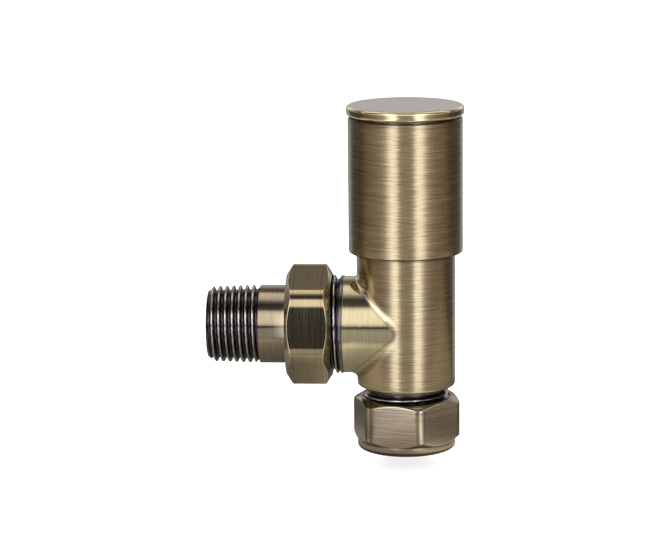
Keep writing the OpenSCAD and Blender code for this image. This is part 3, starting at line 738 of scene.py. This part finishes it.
def chamfered(reach, near, far, near_cut, far_cut):
    """Turned outline of a nut, as (r, h) points, whose end cones run on past its corners.

    Each cut is the cone's own radius at the nut's end and its height up to the reach.
    """
    out = []
    for end, way, (end_r, height) in ((near, 1, near_cut), (far, -1, far_cut)):
        slope = height / (reach - end_r)
        cone = [(end_r, end), (reach + PAST, end + way * slope * (reach + PAST - end_r))]
        out.extend(cone if way > 0 else cone[::-1])
    return out


def reach_of(flats, corner_r):
    """Largest radius of a hexagon with rounded corners, and the seat gap that its turned outline clears it by."""
    return (flats / 2 - corner_r) / math.cos(math.pi / 6) + corner_r + SEAT_GAP


def union_piece():
    far_wall = UNION_FAR_U - UNION_WALL
    reach = reach_of(UNION_FLATS, UNION_CORNER_R)
    end_cut = (reach - SEAT_GAP - UNION_CHAMFER_W, UNION_CHAMFER_H)
    outline = chamfered(reach, UNION_NEAR_U, UNION_FAR_U, end_cut, end_cut)
    rows = arc_rows([(UNION_BORE_R, UNION_NEAR_U), *outline, (UNION_END_R, UNION_FAR_U, 0.25),
                     (UNION_END_R, far_wall), (UNION_BORE_R, far_wall)], 0.1)
    rows = finer(rows, 0.2, UNION_NEAR_U, UNION_FAR_U)
    cut = hex_cut(UNION_NEAR_U, UNION_FAR_U, UNION_FLATS, UNION_TURN, UNION_CORNER_R)
    return lathe("union_nut_skin", along_outlet, rows, [union_brass, union_end_brass], cut, segments=360,
                 face_slot=lambda middle, normal: 1 if abs(normal.x) > CHAMFER_LEAN else 0)


def tail_piece():
    nose_u = TAIL_START_U
    ring_u = (nose_u + 28.1) / 2
    key_u = TAIL_END_U - KEY_DEPTH
    bore = TAIL_BORE_R
    rows = arc_rows([(bore, nose_u), (9.0, nose_u, 0.3), (9.0, ring_u - 0.9), (7.6, ring_u - 0.9), (7.6, ring_u + 0.9),
                     (9.0, ring_u + 0.9), (9.0, 28.1), (12.9, 28.1), (12.9, 29.5, 0.2), (TAIL_R, 29.5, 0.2),
                     (TAIL_R, TAIL_THREAD_U - 0.2)])
    rows += thread_rows(TAIL_THREAD_U, TAIL_END_U - 0.02, TAIL_THREAD_R)
    rows += [(TAIL_END_R - THREAD_DEPTH, TAIL_END_U, 0.0), (KEY_FLATS / 2 + 0.4, TAIL_END_U, 0.0),
             (KEY_FLATS / 2, TAIL_END_U - 0.35, 0.0), (KEY_FLATS / 2, key_u, 0.0), (bore, key_u, 0.0)]
    cut = thread(TAIL_THREAD_U - 0.1, TAIL_END_U, TAIL_THREAD_R, TAIL_END_R, TAIL_PHASE, 1.2, 0.8)

    def shape(theta, rr, h, wear, painted_shade):
        if key_u <= h <= TAIL_END_U and KEY_FLATS / 2 <= rr[0] < KEY_FLATS / 2 + 1:
            outline, _ = hexagon(theta, KEY_FLATS, 0.0, 0.1)
            return outline + (rr[0] - KEY_FLATS / 2), wear, painted_shade
        return cut(theta, rr, h, wear, painted_shade)

    def slot_of(p, q):
        return 1 if min(p[1], q[1]) > TAIL_THREAD_U - 0.15 and max(p[0], q[0]) > KEY_FLATS / 2 + 0.1 else 0
    return lathe("radiator_tail_skin", along_outlet, rows, [tail_brass, thread_brass], shape, segments=288,
                 slot_of=slot_of)


def nut_piece():
    reach = reach_of(NUT_FLATS, NUT_CORNER_R)
    outline = chamfered(reach, COLLAR_H, NUT_TOP_Z, (NUT_COLLAR_R - SEAT_GAP, COLLAR_CONE_H), (NUT_TOP_R, NUT_CHAMFER_H))
    rows = arc_rows([(PIPE_R, 0.0), (NUT_COLLAR_R, 0.0, COLLAR_EDGE_R), (NUT_COLLAR_R, COLLAR_H, 0.06), *outline,
                     (11.6, NUT_TOP_Z), (11.6, 7.4), (12.0, 7.4), (9.2, 4.6), (9.2, 4.5), (9.1, 4.5), (PIPE_R, 3.0)], 0.1)
    rows = finer(rows, 0.2, COLLAR_H, NUT_TOP_Z)
    # The nut's corners get a paler line with a painted highlight, and painted shade beside it
    cut = hex_cut(COLLAR_H, NUT_TOP_Z, NUT_FLATS, NUT_TURN, NUT_CORNER_R, line=1.0)
    return lathe("compression_nut_skin", upright, rows, [nut_brass, smooth_brass], cut, segments=360,
                 face_slot=lambda middle, normal: 1 if abs(normal.z) > CHAMFER_LEAN and middle.z > COLLAR_H else 0)


PIECES = [
    (body_piece, "valve", "valve_body", "antique_brass"),
    (sleeve_piece, "handwheel", "handwheel_sleeve", "antique_brass"),
    (cap_piece, "handwheel", "cap_disc", "bright_edge_brass"),
    (union_piece, "union", "union_nut", "antique_brass"),
    (tail_piece, "tail", "radiator_tail", "dark_thread"),
    (nut_piece, "pipe_nut", "compression_nut", "antique_brass"),
]
for make, body, node, slot in PIECES:
    piece = make()
    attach(piece, body)
    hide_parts(node)

INNER = {
    "bonnet": raw_brass, "spindle": raw_brass, "valve_plug": raw_brass, "washer_screw": raw_brass, "olive": raw_brass,
    "bonnet_o_ring": rubber, "spindle_o_ring_lower": rubber, "spindle_o_ring_upper": rubber, "tail_o_ring": rubber,
    "seat_washer": rubber, "thrust_washer": white_washer, "spindle_circlip": zinc_steel,
    "spring_washer": zinc_steel, "handwheel_screw": zinc_steel, "handwheel_insert": dark_nylon,
}
for node, material in INNER.items():
    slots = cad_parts[node].data.materials
    slots.clear()
    slots.append(material)


# Camera

CAMERA_AZIMUTH = math.radians(3.67)
CAMERA_ELEVATION = math.radians(11.19)
CAMERA_ROLL = math.radians(-0.55)
CAMERA_DISTANCE = 764.4 * MM
CAMERA_TARGET = Vector((-18.94, 0.0, 47.97)) * MM
SENSOR = 36.0
FOCAL = SENSOR * 2861.9 / 670

az, el, roll = CAMERA_AZIMUTH, CAMERA_ELEVATION, CAMERA_ROLL
forward = Vector((-math.sin(az) * math.cos(el), math.cos(az) * math.cos(el), -math.sin(el)))
right = Vector((math.cos(az), math.sin(az), 0.0))
up = right.cross(forward)
right, up = right * math.cos(roll) + up * math.sin(roll), up * math.cos(roll) - right * math.sin(roll)
camera_data = bpy.data.cameras.new("camera")
camera_data.lens = FOCAL
camera_data.sensor_width = SENSOR
camera = bpy.data.objects.new("camera", camera_data)
bpy.context.scene.collection.objects.link(camera)
axes = Matrix((right, up, -forward)).transposed().to_4x4()
camera.matrix_world = Matrix.Translation(CAMERA_TARGET - forward * CAMERA_DISTANCE) @ axes
bpy.context.scene.camera = camera


# Light

def studio_shell():
    """Large shell that only reflections see: soft panels and the darker gaps between them."""
    bm = bmesh.new()
    bmesh.ops.create_icosphere(bm, subdivisions=5, radius=3.0)
    mesh = bpy.data.meshes.new("studio_shell")
    bm.to_mesh(mesh)
    bm.free()
    mesh.shade_smooth()
    shell = bpy.data.objects.new("studio_shell", mesh)
    bpy.context.scene.collection.objects.link(shell)
    shell.location = (0.0, 0.0, 0.045)
    shell.rotation_euler = (0.0, 0.0, CAMERA_AZIMUTH)
    for ray in ("camera", "diffuse", "transmission", "shadow", "volume_scatter"):
        setattr(shell, f"visible_{ray}", False)
    material, n = new_material("studio_shell")
    place = n.add("ShaderNodeTexCoord").outputs["Object"]
    d = n.add("ShaderNodeVectorMath", {0: place}, operation="NORMALIZE").outputs[0]
    xyz = n.add("ShaderNodeSeparateXYZ", {0: d}).outputs
    side = n.math("MULTIPLY", n.math("ARCSINE", n.math("ABSOLUTE", xyz[0])), 2 / math.pi)
    front = n.math("MULTIPLY", xyz[1], -1.0)
    turn = n.math("ADD", n.math("DIVIDE", n.math("ARCTAN2", xyz[2], front), 2 * math.pi), 0.5)

    def side_ramp(stops):
        return n.ramp(side, [(a / 90, v) for a, v in stops])

    def turn_ramp(stops):
        return n.ramp(turn, [((a + 180) / 360, v) for a, v in stops])

    panels = n.math("MULTIPLY", side_ramp(PANEL_SIDES), turn_ramp(PANEL_TURNS))
    strips = n.math("MULTIPLY", side_ramp(STRIP_SIDES), turn_ramp(STRIP_TURNS))
    warm = n.mix(side_ramp(PANEL_WARMTH), (1.0, 0.97, 0.92, 1.0), (1.0, 0.84, 0.74, 1.0))
    panel_glow = n.add("ShaderNodeEmission", {"Color": warm, "Strength": panels}).outputs[0]
    strip_glow = n.add("ShaderNodeEmission", {"Color": (0.91, 1.0, 1.17, 1.0),
                                              "Strength": n.math("MULTIPLY", strips, STRIP_LEVEL)}).outputs[0]
    both = n.add("ShaderNodeAddShader", {0: panel_glow, 1: strip_glow})
    n.add("ShaderNodeOutputMaterial", {"Surface": both.outputs[0]})
    mesh.materials.append(material)


# Brightness by the angle to either side of the camera, and by the turn from the camera up over the top
PANEL_SIDES = [(0, 0.62), (20, 0.62), (40, 0.5), (70, 0.35), (90, 0.3)]
PANEL_WARMTH = [(0, 0.0), (35, 0.1), (65, 0.8), (90, 1.0)]
PANEL_TURNS = [(-180, 0.13), (-150, 0.18), (-110, 0.28), (-60, 0.45), (-8, 0.56), (-2, 0.5), (1, 0.02), (4.5, 0.02),
               (8, 1.1), (15, 1.65), (40, 1.75), (47, 1.4), (55, 0.12), (72, 0.06), (82, 0.4), (90, 1.1), (105, 1.5),
               (115, 1.3), (121, 0.3), (135, 0.18), (155, 0.78), (172, 0.78), (180, 0.13)]
STRIP_LEVEL = 1.55
STRIP_SIDES = [(0, 0.0), (14, 0.03), (19, 0.85), (23, 1.0), (30, 1.0), (36, 0.5), (42, 0.12), (55, 0.03), (75, 0.0)]
STRIP_TURNS = [(-180, 0.2), (-140, 0.3), (-90, 0.5), (-60, 0.85), (40, 1.0), (60, 0.3), (90, 0.0), (120, 0.3),
               (160, 0.3), (180, 0.2)]
studio_shell()


def floor_card():
    """Oval round the object's foot that only reflections see: the pale floor close by, with a painted shadow that
    darkens it near and under the object.
    """
    bm = bmesh.new()
    bmesh.ops.create_circle(bm, cap_ends=True, segments=96, radius=1.0)
    bmesh.ops.scale(bm, vec=(CARD_HALF_WIDTH, CARD_HALF_DEPTH, 1.0), verts=bm.verts)
    mesh = bpy.data.meshes.new("floor_card")
    bm.to_mesh(mesh)
    bm.free()
    card = bpy.data.objects.new("floor_card", mesh)
    bpy.context.scene.collection.objects.link(card)
    card.location = (0.0, 0.0, -0.1 * MM)
    card.rotation_euler = (0.0, 0.0, CAMERA_AZIMUTH)
    for ray in ("camera", "diffuse", "transmission", "shadow", "volume_scatter"):
        setattr(card, f"visible_{ray}", False)
    material, n = new_material("floor_card")
    xyz = n.add("ShaderNodeSeparateXYZ", {0: n.add("ShaderNodeTexCoord").outputs["Object"]}).outputs

    def across(value, stops, half):
        share = n.math("ADD", n.math("DIVIDE", value, 2 * half), 0.5)
        return n.ramp(share, [((a * MM + half) / (2 * half), v) for a, v in stops])

    ahead = across(n.math("MULTIPLY", xyz[1], -1.0), CARD_AHEAD, CARD_HALF_DEPTH)
    aside = across(xyz[0], CARD_ASIDE, CARD_HALF_WIDTH)
    level = n.math("ADD", n.math("MULTIPLY", ahead, aside), across(xyz[0], CARD_FAR, CARD_HALF_WIDTH))
    glow = n.add("ShaderNodeEmission", {"Color": (1.0, 0.95, 0.84, 1.0), "Strength": level})
    n.add("ShaderNodeOutputMaterial", {"Surface": glow.outputs[0]})
    mesh.materials.append(material)


# Brightness of the floor by the millimetres ahead of the object, and to the right of it
CARD_HALF_WIDTH = 0.2
CARD_HALF_DEPTH = 0.065
CARD_AHEAD = [(-65, 0.15), (0, 0.22), (10, 0.26), (20, 0.3), (33, 0.38), (46, 0.56), (55, 0.45), (65, 0.3)]
CARD_ASIDE = [(-200, 0.9), (-60, 0.8), (-40, 0.75), (-34, 0.6), (-26, 0.85), (-21, 1.5), (-17, 1.0), (-8, 0.95),
              (2, 0.95), (6, 1.3), (10, 2.0), (18, 2.0), (23, 1.1), (30, 0.8), (45, 0.55), (200, 0.7)]
CARD_FAR = [(-200, 0.32), (-85, 0.3), (-60, 0.1), (-45, 0.0), (40, 0.0), (60, 0.1), (85, 0.22), (200, 0.25)]
floor_card()


def aim(obj, place, target):
    obj.location = place
    obj.rotation_euler = (Vector(target) - Vector(place)).to_track_quat("-Z", "Y").to_euler()


def softbox(name, place, size, energy):
    light = bpy.data.lights.new(name, "AREA")
    light.shape = "RECTANGLE"
    light.size, light.size_y = size
    light.energy = energy
    lamp = bpy.data.objects.new(name, light)
    bpy.context.scene.collection.objects.link(lamp)
    aim(lamp, place, (-0.015, 0.0, 0.045))
    lamp.visible_glossy = False
    return lamp


softbox("front_left", (-0.55, -0.8, 0.7), (0.5, 0.7), 9.0)
softbox("front_right", (0.65, -0.7, 0.6), (0.5, 0.7), 7.0)
softbox("overhead", (0.0, 0.1, 1.1), (0.9, 0.9), 9.0)

# Floor and world, white to the camera and to reflections
bm = bmesh.new()
bmesh.ops.create_grid(bm, x_segments=1, y_segments=1, size=6.0)
# The floor lies below the lowest point that the lower nut reaches when it is undone
FLOOR_DROP = 5.6
floor_mesh = bpy.data.meshes.new("floor")
bm.to_mesh(floor_mesh)
bm.free()
floor = bpy.data.objects.new("floor", floor_mesh)
bpy.context.scene.collection.objects.link(floor)
floor.location = (0.0, 0.0, -FLOOR_DROP * MM)
material, n = new_material("floor")
rays = n.add("ShaderNodeLightPath").outputs
seen = n.math("ADD", rays["Is Camera Ray"], n.math("ADD", rays["Is Glossy Ray"], rays["Is Transmission Ray"]),
              clamp=True)
matt = n.add("ShaderNodeBsdfDiffuse", {"Color": (0.6, 0.6, 0.6, 1.0)})
glow = n.add("ShaderNodeEmission", {"Color": (1.0, 1.0, 1.0, 1.0), "Strength": n.math("MULTIPLY", seen, 0.75)})
both = n.add("ShaderNodeAddShader", {0: matt.outputs[0], 1: glow.outputs[0]})
n.add("ShaderNodeOutputMaterial", {"Surface": both.outputs[0]})
floor_mesh.materials.append(material)
floor.visible_glossy = False

world = bpy.context.scene.world or bpy.data.worlds.new("world")
bpy.context.scene.world = world
world.use_nodes = True
n = Nodes(world.node_tree)
rays = n.add("ShaderNodeLightPath").outputs
seen = n.math("ADD", rays["Is Camera Ray"], n.math("ADD", rays["Is Glossy Ray"], rays["Is Transmission Ray"]),
              clamp=True)
level = n.math("ADD", n.math("MULTIPLY", seen, 0.55), 0.45)
background = n.add("ShaderNodeBackground", {"Color": (1.0, 1.0, 1.0, 1.0), "Strength": level})
n.add("ShaderNodeOutputWorld", {"Surface": background.outputs[0]})

bpy.context.scene.view_settings.view_transform = "Standard"
